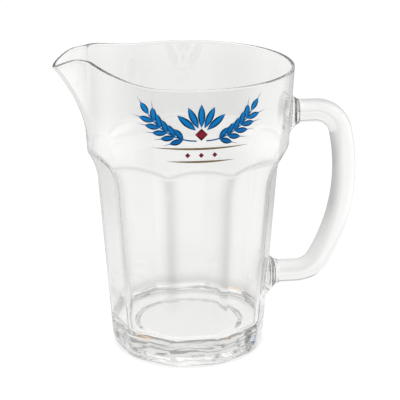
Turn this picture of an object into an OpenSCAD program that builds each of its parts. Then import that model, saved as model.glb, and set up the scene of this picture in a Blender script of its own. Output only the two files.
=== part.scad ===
// Beer pitcher of clear plastic: a panelled body that opens into a round collar with a
// pouring spout, and a solid bar handle bonded to two bosses on the opposite side.
// The origin is on the body's axis at the table. +Z is up, the handle is toward +X and
// the spout toward -X, and the decoration faces -Y.

/* [Body] */
// Outer radius of the round collar at the rim
rim_r = 70; // [66:1:76]
// Height of the rim above the table, away from the spout
body_h = 194.5; // [188:0.5:206]
// Height of the round collar, from the shoulder where the panels end up to the rim
collar_h = 55.5; // [50:0.5:62]
// How much smaller the collar's radius is at the shoulder than at the rim
collar_taper = 3; // [1:0.5:6]
// Number of flat panels round the lower body; even, so that handle and spout both sit on ridges
panel_count = 10; // [8, 10, 12]
// How much nearer to the axis than the shoulder the middle of a panel is at the table
foot_inset = 17.1; // [14:0.1:20]
// How much nearer to the axis than the shoulder the middle of a panel is where it starts to flare
waist_inset = 9.1; // [8:0.1:12]
// Height over which the panels flare outward, up to the shoulder
flare_h = 21; // [16:1:26]
// Radius of the hollow curve by which the panels run out to the shoulder
flare_r = 39.5; // [32:0.5:48]
// Radius that rounds the ridges between panels, as a share of the panel's distance from the axis
ridge_round_share = 0.18; // [0.08:0.01:0.3]

/* [Walls and base] */
// Wall thickness at the foot of the panels
wall = 2.7; // [2:0.1:4]
// Wall thickness at the rim
rim_wall = 2.2; // [1.6:0.1:3.2]
// Height of the inside floor above the table, so the thickness of the solid base
floor_z = 18.5; // [10:0.5:26]
// Radius in the corner between the floor and the inside wall
floor_round = 4; // [2:0.5:7]
// Rounding of the outer edge of the foot
foot_round = 1.5; // [0.5:0.1:3]
// Width of the flat ring that the foot stands on, round the recess
foot_ring_w = 15.4; // [10:0.1:20]
// Depth of the round recess under the base
recess_depth = 2.5; // [1:0.5:5]

/* [Spout] */
// How far the tip of the spout stands out beyond the rim's radius
spout_l = 19; // [10:0.5:26]
// Height of the spout, from where it leaves the collar up to the rim
spout_h = 45.5; // [38:0.5:50]
// How the keel of the spout curves out: 1 is straight, more is hollower
spout_curve = 1.85; // [1.3:0.05:2.6]
// Half of the angle round the axis that the spout takes up
spout_half_angle = 22.5; // [16:0.5:28]
// Height of the spout's tip above the rim
tip_rise = 1.7; // [0:0.1:4]
// Height of the two wings beside the spout above the rim
wing_rise = 9.2; // [5:0.1:13]
// Angle from the tip to the top of each wing, round the axis
wing_angle = 15; // [10:0.5:20]
// Angle from the tip at which the rim starts to rise toward the spout
rise_angle = 70; // [50:1:85]

/* [Handle] */
// How far the outermost point of the handle stands out beyond the rim's radius
handle_out = 44.2; // [38:0.1:52]
// Depth of the middle of the handle's upper arm below the rim
handle_drop = 34.7; // [30:0.1:40]
// Height of the middle of the handle's lower arm
handle_bottom_z = 45.4; // [38:0.1:54]
// Height at which the grip stands farthest out, as a share of the way from the lower arm to the upper
grip_height_share = 0.626; // [0.5:0.002:0.7]
// Radius of the grip's long curve, as a share of the distance between the arms
grip_bow_share = 1.1145; // [0.95:0.0005:1.4]
// Radius of the two bends, as a share of how far the bar's middle stands out beyond the rim's radius
bend_share = 0.4727; // [0.36:0.0001:0.56]
// Thickness of the handle's bar, seen from the side
bar_d = 15.2; // [12:0.1:18]
// Width of the handle's bar across the hand
bar_w = 17.4; // [15:0.1:22]
// Fullness of the bar's section: 2 is an ellipse, more is squarer
bar_fullness = 2.3; // [2:0.1:3.5]
// Radius of the hollow flare where the bar meets the body, as a share of how far the handle stands out
root_flare_share = 0.2036; // [0.16:0.0004:0.22]
// How far the upper boss stands out from the collar, as a share of the flare's radius
upper_boss_share = 0.6; // [0.45:0.01:0.75]
// How far the lower boss stands out from the ridge, as a share of the flare's radius
lower_boss_share = 0.422; // [0.34:0.002:0.6]
// Thickness of the cement between a boss and the handle
bond_t = 0.3; // [0.1:0.1:0.6]
// How far the cement stays back from the edge of the joint
bond_inset = 0.5; // [0.2:0.1:1.5]

/* [Decoration] */
// Thickness of the printed ink
ink_t = 0.12; // [0.08:0.02:0.3]
// Depth of the middle of the decoration below the rim
print_drop = 24.5; // [23:0.5:28]
// Radius of the curve that each barley ear follows
ear_r = 34; // [30:1:40]
// Distance of the curve's centre from the middle of the decoration
ear_out = 3; // [2:0.5:6]
// Number of pairs of grains in an ear
grain_pairs = 5; // [4:1:6]
// Distance between one pair of grains and the next, along the ear
grain_pitch = 5.3; // [4.6:0.1:5.8]
// Length of a grain
grain_l = 9; // [7:0.1:10]
// Width of a grain
grain_w = 3.9; // [2.8:0.1:4.4]
// Length of the awns beyond the last grain
awn_l = 4.5; // [3:0.5:6]
// Width of a stem or an awn
stroke_w = 0.9; // [0.6:0.05:1.2]
// Length of the longer gold rule
rule_l = 62; // [50:1:72]
// Thickness of the gold rules in their middle
rule_w = 1.3; // [0.8:0.1:2]
// Distance between the two gold rules
rule_gap = 8.5; // [7:0.5:10]
// Height of the largest red diamond
diamond_h = 8; // [6:0.5:9]
// Number of leaves in the fan over the largest diamond
fan_leaves = 5; // [3:1:5]
// Length of a leaf of the fan
fan_l = 15; // [11:0.5:17]
// Width of a leaf of the fan
fan_w = 4.6; // [3:0.1:5]

/* [Hidden] */
$fn = 96;

clear_plastic = [0.86, 0.90, 0.93, 0.45];
cement = [0.93, 0.95, 0.96, 0.8];
blue_ink = [0.07, 0.25, 0.60];
gold_ink = [0.72, 0.56, 0.24];
red_ink = [0.66, 0.10, 0.14];

// Heights, counted down from the rim, and distances from the axis
shoulder_z = body_h - collar_h;
flare_z = shoulder_z - flare_h;
spout_z = body_h - spout_h;
tip_z = body_h + tip_rise;
handle_top_z = body_h - handle_drop;
print_z = body_h - print_drop;
shoulder_r = rim_r - collar_taper;
foot_panel_r = shoulder_r - foot_inset;
waist_panel_r = shoulder_r - waist_inset;
recess_r = foot_panel_r - foot_ring_w;
spout_reach = rim_r + spout_l;

// Panel geometry: a ridge lies at angle 0, and the middle of a panel half a step away
panel_step = 360 / panel_count;
half_step = panel_step / 2;
ridge_centre_share = (1 - ridge_round_share) / cos(half_step);
flat_end_angle = atan((1 - ridge_round_share) * tan(half_step));
ridge_share = ridge_centre_share + ridge_round_share;

// Slopes of the lower panels and of the collar
panel_lean = (waist_panel_r - foot_panel_r) / flare_z;
panel_tilt = atan(panel_lean);
collar_lean = collar_taper / collar_h;
// How much farther a wall is level than square to the collar
collar_slant = sqrt(1 + pow(collar_lean, 2));

// Centre of the hollow curve of the flare
flare_centre_r = waist_panel_r + flare_r * cos(panel_tilt);
flare_centre_z = flare_z - flare_r * sin(panel_tilt);

// Columns of the body's surface, as shares of half a panel counted from a ridge; the last ones
// before the flat lie on the rounded ridge, and the spout takes closer columns
round_end_share = 1 - flat_end_angle / half_step;
plain_column_shares = [0, round_end_share / 2, round_end_share, 0.45, 0.72];
spout_column_shares = [0, round_end_share / 2, round_end_share, 0.3, 0.44, 0.58, 0.72, 0.86];

// Rows of the body's surface: along the flare, up the collar, over the lip and round the floor
flare_rows = 5;
collar_rows = 10;
lip_rows = 4;
foot_rows = 3;
floor_rows = 4;
// Step over which the slope of the surface is read, as a share of the wall
slope_step_share = 0.1;

// Sides of the handle's bar, and its rings along a root, a bend and the grip
bar_sides = 28;
root_rows = 5;
bend_rows = 9;
grip_rows = 10;
boss_rows = 6;
// Angle of the skirt by which a root runs into the wall, and how deep it goes, in walls
skirt_angle = 45;
boss_depth_share = 2.2;

// One overrun for every cut
cut = 1;

// Decoration: how far below its middle each ear starts, as a share of the ear's radius, and how
// much lower the upper rule lies, in rule thicknesses
ear_drop_share = 0.24;
rule_clear_share = 4;
ear_drop = ear_r * ear_drop_share;
rule_drop = ear_drop + rule_w * rule_clear_share;
// The lower rule is shorter by this share, and the small diamonds are this share of the large one
rule_short_share = 0.3;
small_diamond_share = 0.42;
// Lean of the grains from the stem, and how far they sit from its middle, in stem widths
grain_lean = 33;
stem_gap_share = 0.4;
stem_gap = stroke_w * stem_gap_share;
// Length of bare stem before the first grain, in grain pitches
first_grain = 1.55;
// Fan: how far its centre lies below the middle, as a share of the ears' drop, the clear space round
// the centre as a share of a leaf's length, and the angle between leaves
fan_drop_share = 0.5;
fan_drop = ear_drop * fan_drop_share;
fan_start_share = 0.3;
fan_step = 25;
// Points along each side of a pointed oval and of a stem
lens_points = 7;
stem_points = 10;

// Keeps a value between 0 and 1
function unit(v) = max(0, min(1, v));
// Runs from 0 to 1 with level ends
function ease(v) = let (t = unit(v)) t * t * (3 - 2 * t);

// Outline of the rounded polygon in the direction a, where the middle of a panel is 1
function panel_share(a) = let (
        turn = a - panel_step * floor(a / panel_step),
        off = abs(turn - half_step),
        back = half_step - off
    )
    off < flat_end_angle ? 1 / cos(off)
    : ridge_centre_share * cos(back)
        + sqrt(max(0, pow(ridge_round_share, 2) - pow(ridge_centre_share * sin(back), 2)));

// Distance from the axis to the middle of a panel at height z, with its surface set in by a depth
function panel_r(z, depth = 0) = let (bend = flare_r + depth, up = z - flare_centre_z)
    up <= bend * sin(panel_tilt) ? foot_panel_r + panel_lean * z - depth / cos(panel_tilt)
    : flare_centre_r - sqrt(max(0, bend * bend - up * up));

// Height at which the flaring panel, set in by a depth, is r away from the axis
function flare_height(r, depth) =
    flare_centre_z + sqrt(pow(flare_r + depth, 2) - pow(max(0, flare_centre_r - r), 2));

// Outer radius of the round collar at height z
function collar_r(z) = shoulder_r + collar_lean * (z - shoulder_z);

// Height of the arched edge between panel and collar in the direction a, both set in by a depth
function arch_z(a, depth = 0, tries = 4) = let (z = tries == 0 ? shoulder_z : arch_z(a, depth, tries - 1))
    flare_height((collar_r(z) - depth * collar_slant) / panel_share(a), depth);

// Angle between the direction a and the spout's tip
function from_tip(a) = abs(180 - (a - 360 * floor(a / 360)));

// Height of the rim in the direction a: level behind, up to the wings, and down to the tip
function rim_z(a) = let (x = from_tip(a))
    x < wing_angle ? tip_z + (wing_rise - tip_rise) * ease(x / wing_angle)
    : body_h + wing_rise * ease((rise_angle - x) / (rise_angle - wing_angle));

// Height at which the lip starts to round over in the direction a
function lip_z(a) = rim_z(a) - rim_wall / 2;

// How far the spout stands out of the collar in the direction a at height z
function spout_out(a, z) = let (
        x = from_tip(a),
        up = unit((z - spout_z) / (rim_z(a) - spout_z))
    )
    x >= spout_half_angle ? 0
    : (spout_reach - collar_r(tip_z)) * pow(up, spout_curve)
        * pow(cos(90 * x / spout_half_angle), 2);

// Radius of the collar with its spout in the direction a at height z
function collar_side(a, z) = collar_r(z) + spout_out(a, z);

// Outer radius of the body in the direction a at height z
function outer_r(a, z) = min(panel_r(z) * panel_share(a), collar_side(a, z));

// Thickness of the wall at height z, square to the wall
function wall_at(z) = wall + (rim_wall - wall) * unit(z / body_h);

// Inner radius: the panels and the collar each set in by the wall. In the spout the wall is
// measured square to the surface by its slope up and round the body.
function inner_r(a, z) = let (
        step = wall * slope_step_share,
        turn = step / rim_r * 180 / PI,
        r = collar_side(a, z),
        up = (r - collar_side(a, z - step)) / step,
        round = (collar_side(a + turn, z) - collar_side(a - turn, z)) / (2 * r * sin(turn))
    )
    min(panel_r(z, wall_at(z)) * panel_share(a), r - wall_at(z) * sqrt(1 + up * up + round * round));

function at(a, r, z) = [r * cos(a), r * sin(a), z];

// Directions of the columns, half a panel at a time
function half_columns(k) = let (
        near_tip = from_tip((k + 0.5) * half_step) < 2 * half_step,
        shares = near_tip ? spout_column_shares : plain_column_shares,
        n = len(shares)
    )
    k % 2 == 0 ? [for (s = shares) (k + s) * half_step]
    : [for (i = [0:n - 1]) (k + 1 - (i == 0 ? 1 : shares[n - i])) * half_step];
columns = [for (k = [0:2 * panel_count - 1]) each half_columns(k)];

// Rings of points from the edge of the foot, up the outside, over the lip and down the inside
foot_rings = [for (i = [0:foot_rows])
    let (t = 90 * i / foot_rows, z = foot_round * (1 - cos(t)))
    [for (a = columns) at(a, outer_r(a, foot_round) - foot_round * (1 - sin(t)), z)]];
flare_rings = [for (i = [0:flare_rows])
    [for (a = columns) let (z = flare_z + (arch_z(a) - flare_z) * i / flare_rows) at(a, outer_r(a, z), z)]];
collar_rings = [for (i = [1:collar_rows])
    [for (a = columns) let (z = arch_z(a) + (lip_z(a) - arch_z(a)) * i / collar_rows) at(a, outer_r(a, z), z)]];
lip_rings = [for (i = [1:lip_rows])
    [for (a = columns)
        let (
            t = 180 * i / lip_rows,
            low = lip_z(a),
            out = outer_r(a, low),
            half = (out - inner_r(a, low)) / 2
        )
        at(a, out - half * (1 - cos(t)), low + rim_wall / 2 * sin(t))]];
inside_arch = [for (a = columns) arch_z(a, wall_at(shoulder_z))];
inside_collar_rings = [for (i = [collar_rows - 1:-1:0])
    [for (j = [0:len(columns) - 1])
        let (a = columns[j], z = inside_arch[j] + (lip_z(a) - inside_arch[j]) * i / collar_rows)
        at(a, inner_r(a, z), z)]];
inside_flare_rings = [for (i = [flare_rows - 1:-1:0])
    [for (j = [0:len(columns) - 1])
        let (a = columns[j], z = flare_z + (inside_arch[j] - flare_z) * i / flare_rows)
        at(a, inner_r(a, z), z)]];
floor_rings = [for (i = [0:floor_rows])
    let (t = 90 * i / floor_rows, z = floor_z + floor_round * (1 - sin(t)))
    [for (a = columns) at(a, inner_r(a, floor_z + floor_round) - floor_round * (1 - cos(t)), z)]];
body_rings = concat(foot_rings, flare_rings, collar_rings, lip_rings,
    inside_collar_rings, inside_flare_rings, floor_rings);

// Closes a stack of rings into one solid, with a flat cap on the first and the last ring.
// The quads are split alike on both sides of the mirror plane.
module skin(rings) {
    n = len(rings[0]);
    last = len(rings) - 1;
    quads = [for (i = [0:last - 1], j = [0:n - 1])
        let (k = (j + 1) % n, a = i * n + j, b = i * n + k, c = a + n, d = b + n)
        each (j < n / 2 ? [[a, c, b], [b, c, d]] : [[a, d, b], [a, c, d]])];
    polyhedron(
        points = [for (ring = rings) each ring],
        faces = concat(quads, [[for (j = [0:n - 1]) j]], [[for (j = [n - 1:-1:0]) last * n + j]]),
        convexity = 6);
}

// Reach of the handle from the axis, its bends and the flares of its roots
handle_reach = rim_r + handle_out;
bend_r = bend_share * (handle_out - bar_d / 2);
root_flare_r = root_flare_share * handle_out;
upper_boss_out = upper_boss_share * root_flare_r;
lower_boss_out = lower_boss_share * root_flare_r;

// Where the handle's roots meet the body
upper_wall_x = collar_r(handle_top_z);
lower_wall_x = panel_r(handle_bottom_z) * ridge_share;
upper_joint_x = upper_wall_x + upper_boss_out;
lower_joint_x = lower_wall_x + lower_boss_out;

// How much a root is fatter than the bar at a distance out from the wall: a hollow curve that
// turns as far as the skirt's angle, and then a straight skirt down into the wall
function flare(out) = let (bend_out = root_flare_r * (1 - sin(skirt_angle)))
    out >= root_flare_r ? 0
    : out > bend_out ? root_flare_r - sqrt(pow(root_flare_r, 2) - pow(root_flare_r - out, 2))
    : root_flare_r * (1 - cos(skirt_angle)) + (bend_out - out) * tan(skirt_angle);

// Outline of the bar, grown by a distance all round; x lies in the plane of the handle
function bar_outline(grow) = [for (i = [0:bar_sides - 1])
    let (t = 360 * i / bar_sides, c = cos(t), s = sin(t))
    [(bar_d / 2 + grow) * sign(c) * pow(abs(c), 2 / bar_fullness),
        (bar_w / 2 + grow) * sign(s) * pow(abs(s), 2 / bar_fullness)]];

// Ring of the bar round the point x, z, square to the direction turn, which is 0 along +X and
// falls as the handle turns down
function bar_ring(x, z, turn, grow) = [for (p = bar_outline(grow))
    [x - p[0] * sin(turn), -p[1], z + p[0] * cos(turn)]];

// Rings of a root that runs out along +X, from one distance out of the wall to another
function root_rings(wall_x, z, start, end, rows) = [for (i = [0:rows])
    let (out = start + (end - start) * i / rows)
    bar_ring(wall_x + out, z, 0, flare(out))];

// Rings of the bar round a bend, by the angle from the bend's centre, with no ring at its start
function bend_rings(x, z, r, from, to, rows) = [for (i = [1:rows])
    let (t = from + (to - from) * i / rows)
    bar_ring(x + r * cos(t), z + r * sin(t), t - 90, 0)];

// Middle line of the handle: a long grip curve with a bend at each end
grip_z = handle_bottom_z + grip_height_share * (handle_top_z - handle_bottom_z);
grip_r = grip_bow_share * (handle_top_z - handle_bottom_z);
grip_x = handle_reach - bar_d / 2 - grip_r;
upper_bend_z = handle_top_z - bend_r;
lower_bend_z = handle_bottom_z + bend_r;
upper_bend_angle = asin((upper_bend_z - grip_z) / (grip_r - bend_r));
lower_bend_angle = asin((lower_bend_z - grip_z) / (grip_r - bend_r));
upper_bend_x = grip_x + (grip_r - bend_r) * cos(upper_bend_angle);
lower_bend_x = grip_x + (grip_r - bend_r) * cos(lower_bend_angle);

function reversed(list) = [for (i = [len(list) - 1:-1:0]) list[i]];
// A ring of the lower arm, seen in the direction of travel back toward the body
function turned(ring) = [for (i = [0:bar_sides - 1])
    ring[(bar_sides + bar_sides / 2 - i) % bar_sides]];

handle_rings = concat(
    root_rings(upper_wall_x, handle_top_z, upper_boss_out + bond_t, root_flare_r, root_rows),
    [bar_ring(upper_bend_x, handle_top_z, 0, 0)],
    bend_rings(upper_bend_x, upper_bend_z, bend_r, 90, upper_bend_angle, bend_rows),
    bend_rings(grip_x, grip_z, grip_r, upper_bend_angle, lower_bend_angle, grip_rows),
    bend_rings(lower_bend_x, lower_bend_z, bend_r, lower_bend_angle, -90, bend_rows),
    [for (ring = reversed(root_rings(lower_wall_x, handle_bottom_z, lower_boss_out + bond_t,
        root_flare_r, root_rows))) turned(ring)]);

// Boss on the collar: its back follows the middle of the round wall
module upper_boss() {
    difference() {
        skin(root_rings(upper_wall_x, handle_top_z, -boss_depth_share * wall, upper_boss_out, boss_rows));
        translate([0, 0, handle_top_z - handle_reach / 2])
            cylinder(r = upper_wall_x - wall_at(handle_top_z) / 2, h = handle_reach);
    }
}

// Boss on the ridge: its back follows the middle of the two panels that meet there
module lower_boss() {
    side = 2 * lower_wall_x;
    difference() {
        skin(root_rings(lower_wall_x, handle_bottom_z, -boss_depth_share * wall, lower_boss_out, boss_rows));
        translate([lower_wall_x - wall_at(handle_bottom_z) / 2, 0, handle_bottom_z])
            rotate([0, panel_tilt, 0])
                linear_extrude(handle_reach, center = true)
                    polygon([[0, 0], [-side * sin(half_step), side * cos(half_step)],
                        [-side, side], [-side, -side], [-side * sin(half_step), -side * cos(half_step)]]);
    }
}

module recess() {
    translate([0, 0, -cut])
        cylinder(r = recess_r, h = recess_depth + cut);
}

module jug_body() {
    color(clear_plastic)
        difference() {
            union() {
                skin(body_rings);
                upper_boss();
                lower_boss();
            }
            recess();
        }
}

module handle() {
    color(clear_plastic)
        skin(handle_rings);
}

// Layer of cement that fills the gap between a boss and the handle
module bond(x, z, out) {
    color(cement)
        translate([x, 0, z])
            rotate([0, 90, 0])
                linear_extrude(bond_t)
                    polygon(bar_outline(flare(out) - bond_inset));
}

module upper_bond() {
    bond(upper_joint_x, handle_top_z, upper_boss_out);
}

module lower_bond() {
    bond(lower_joint_x, handle_bottom_z, lower_boss_out);
}

// Layer of ink on the collar in the shape of its children, drawn flat as seen from -Y
module printed() {
    low = print_z - ear_r;
    high = print_z + ear_r;
    intersection() {
        rotate_extrude()
            polygon([[collar_r(low), low], [collar_r(low) + ink_t, low],
                [collar_r(high) + ink_t, high], [collar_r(high), high]]);
        translate([0, 0, print_z])
            rotate([90, 0, 0])
                linear_extrude(rim_r + rim_wall)
                    children();
    }
}

// Pointed oval that lies along X
module lens(l, w) {
    polygon(concat(
        [for (i = [0:lens_points - 1]) let (t = i / lens_points) [l * (t - 1 / 2), 2 * w * t * (1 - t)]],
        [for (i = [0:lens_points - 1]) let (t = i / lens_points) [l * (1 / 2 - t), -2 * w * t * (1 - t)]]));
}

// Angle round an ear's curve a number of grain pitches from its foot
function ear_angle(pitches) = pitches * grain_pitch / ear_r * 180 / PI;

// Place on an ear's curve a number of grain pitches from its foot, with the curve's run as +X
module on_ear(pitches) {
    translate([ear_out, ear_r - ear_drop])
        rotate(ear_angle(pitches))
            translate([0, -ear_r])
                children();
}

// Stem that follows the ear's curve as far as a number of grain pitches
module stem(pitches) {
    turns = [for (i = [0:stem_points]) ear_angle(pitches) * i / stem_points - 90];
    translate([ear_out, ear_r - ear_drop])
        polygon(concat(
            [for (t = turns) (ear_r + stroke_w / 2) * [cos(t), sin(t)]],
            [for (t = reversed(turns)) (ear_r - stroke_w / 2) * [cos(t), sin(t)]]));
}

// Grain that points along X, with its awn
module grain() {
    translate([grain_l / 2, 0])
        lens(grain_l, grain_w);
    polygon([[grain_l / 2, -stroke_w / 2], [grain_l + awn_l, 0], [grain_l / 2, stroke_w / 2]]);
}

// One ear of barley that curves out and up to the right, on its stem
module barley_ear() {
    stem(first_grain + grain_pairs);
    for (i = [0:grain_pairs - 1], side = [-1, 1])
        on_ear(first_grain + i)
            translate([0, side * stem_gap])
                rotate(side * grain_lean)
                    grain();
    on_ear(first_grain + grain_pairs)
        grain();
}

// Leaves that spread upward from round the largest diamond
module leaf_fan() {
    translate([0, -fan_drop])
        for (i = [0:fan_leaves - 1])
            rotate(90 + (i - (fan_leaves - 1) / 2) * fan_step)
                translate([fan_l * (fan_start_share + 1 / 2), 0])
                    lens(fan_l, fan_w);
}

module print_blue() {
    color(blue_ink) {
        printed()
            for (side = [0, 1])
                mirror([side, 0])
                    barley_ear();
        printed()
            leaf_fan();
    }
}

// Upper and lower gold rule, each thickest in its middle
module print_gold() {
    color(gold_ink)
        printed()
            for (i = [0, 1])
                translate([0, -rule_drop - i * rule_gap])
                    lens(rule_l * (1 - i * rule_short_share), rule_w);
}

module diamond(h) {
    circle(h / 2, $fn = 4);
}

// Large diamond at the foot of the fan and a row of small ones between the rules
module print_red() {
    color(red_ink)
        printed() {
            translate([0, -fan_drop])
                diamond(diamond_h);
            for (i = [-1:1])
                translate([i * rule_gap, -rule_drop - rule_gap / 2])
                    diamond(diamond_h * small_diamond_share);
        }
}

jug_body();
handle();
upper_bond();
lower_bond();
print_blue();
print_gold();
print_red();
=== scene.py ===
"""Looks of a clear plastic beer pitcher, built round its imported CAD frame.

Lengths are in metres and angles in degrees, in the frame of the CAD part: +Z is up, the handle
is toward +X, the spout toward -X, and the decoration faces -Y.
"""

import logging
import math
from dataclasses import dataclass
from enum import Enum

import bpy
import numpy as np
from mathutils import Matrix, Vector


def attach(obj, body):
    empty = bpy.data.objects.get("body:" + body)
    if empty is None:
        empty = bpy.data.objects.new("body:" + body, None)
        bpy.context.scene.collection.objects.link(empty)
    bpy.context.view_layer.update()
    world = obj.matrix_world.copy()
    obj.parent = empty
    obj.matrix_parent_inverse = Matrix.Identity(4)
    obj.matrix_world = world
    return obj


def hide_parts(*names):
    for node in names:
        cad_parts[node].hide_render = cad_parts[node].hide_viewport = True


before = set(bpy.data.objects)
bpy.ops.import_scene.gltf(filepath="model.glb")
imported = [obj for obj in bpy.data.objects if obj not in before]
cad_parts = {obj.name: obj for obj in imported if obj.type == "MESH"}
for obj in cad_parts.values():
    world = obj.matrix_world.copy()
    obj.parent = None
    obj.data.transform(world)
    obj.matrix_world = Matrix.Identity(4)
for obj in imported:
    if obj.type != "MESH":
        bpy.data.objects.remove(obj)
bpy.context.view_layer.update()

BODY = "root"
log = logging.getLogger("pitcher")

# A span is (low, high, step). A band is where it starts, is full, starts to fade and ends.
# A stroke is the rings round it and, for each point, how near the point is to its edge.
Point = tuple[float, float, float]
Colour = tuple[float, float, float]
Span = tuple[float, float, float]
Band = tuple[float, float, float, float]
Stroke = tuple[np.ndarray, np.ndarray]
Socket = bpy.types.NodeSocket


def unit(value: np.ndarray) -> np.ndarray:
    """Keeps values between 0 and 1."""
    return np.clip(value, 0.0, 1.0)


def ease(value: np.ndarray) -> np.ndarray:
    """Runs from 0 to 1 with level ends."""
    t = unit(value)
    return t * t * (3 - 2 * t)


def soft_least(a: np.ndarray, b: np.ndarray, reach: float) -> np.ndarray:
    """The smaller of two surfaces, with their crease rounded.

    Args:
        a: distances of the first surface.
        b: distances of the second surface.
        reach: difference between the two below which they blend.

    Returns:
        The blended distances, which are never more than either.
    """
    near = np.maximum(reach - np.abs(a - b), 0.0) / reach
    return np.minimum(a, b) - near * near * reach / 4


def soft_most(a: np.ndarray, b: np.ndarray, reach: float) -> np.ndarray:
    """The larger of two surfaces, with their crease filled."""
    return -soft_least(-a, -b, reach)


def arc(stop: float, steps: int) -> np.ndarray:
    """Even angles from 0 to stop degrees, in radians."""
    return np.radians(np.linspace(0, stop, steps + 1))


def way_to(turn: float) -> np.ndarray:
    """Unit vector in a direction given in degrees."""
    return np.array([math.cos(math.radians(turn)), math.sin(math.radians(turn))])


def march(start: float, stop: float, spans: list[Span], plain: float) -> np.ndarray:
    """Places that run from start to stop, closer together inside some spans.

    Args:
        start: first place.
        stop: last place, which is met exactly.
        spans: where the places lie closer, and how close.
        plain: step outside every span.

    Returns:
        The places in rising order.
    """
    places = [start]
    while places[-1] < stop:
        here = places[-1]
        step = min([s for low, high, s in spans if low <= here < high], default=plain)
        nexts = [low for low, _, s in spans if here < low < here + step and s < step]
        places.append(min(nexts, default=here + step))
    scale = (stop - start) / (places[-1] - start)
    return start + (np.array(places) - start) * scale


def new_object(name: str, data: bpy.types.ID) -> bpy.types.Object:
    """Makes an object and links it to the scene.

    Args:
        name: name of the object.
        data: its mesh, lamp or camera data.

    Returns:
        The object.
    """
    thing = bpy.data.objects.new(name, data)
    bpy.context.scene.collection.objects.link(thing)
    return thing


def skin(name: str, rings: np.ndarray) -> bpy.types.Object:
    """Closes a stack of rings into one smooth solid with a flat cap at each end.

    Args:
        name: name of the piece.
        rings: points as rings x columns x 3.

    Returns:
        The new object, with its faces turned outward.
    """
    count, columns, _ = rings.shape
    index = np.arange(count * columns).reshape(count, columns)
    across = np.roll(index, -1, axis=1)
    quads = np.stack([index[:-1], across[:-1], across[1:], index[1:]], axis=-1).reshape(-1, 4)
    points = rings.reshape(-1, 3)
    corners = points[quads]
    swept = np.einsum("ij,ij->i", corners[:, 0], np.cross(corners[:, 1], corners[:, 2]))
    swept += np.einsum("ij,ij->i", corners[:, 0], np.cross(corners[:, 2], corners[:, 3]))
    faces = quads.tolist() + [index[0, ::-1].tolist(), index[-1].tolist()]
    if swept.sum() < 0:
        faces = [face[::-1] for face in faces]
    mesh = bpy.data.meshes.new(name)
    mesh.from_pydata(points.tolist(), [], faces)
    mesh.shade_smooth()
    return new_object(name, mesh)


def value_of(piece: bpy.types.Object, name: str, values: np.ndarray) -> None:
    """Keeps one number for each point of a piece, for its material to read."""
    layer = piece.data.attributes.new(name, "FLOAT", "POINT")
    layer.data.foreach_set("value", values.astype(np.float32).ravel())


def dress(piece: bpy.types.Object, mat: bpy.types.Material, node: str) -> None:
    """Gives a piece its material and its place on the pitcher.

    Args:
        piece: the piece.
        mat: its material.
        node: the CAD node that it stands for.
    """
    piece.data.materials.clear()
    piece.data.materials.append(mat)
    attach(piece, BODY)
    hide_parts(node)
    log.info("%s stands for %s: %d faces", piece.name, node, len(piece.data.polygons))


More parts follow.
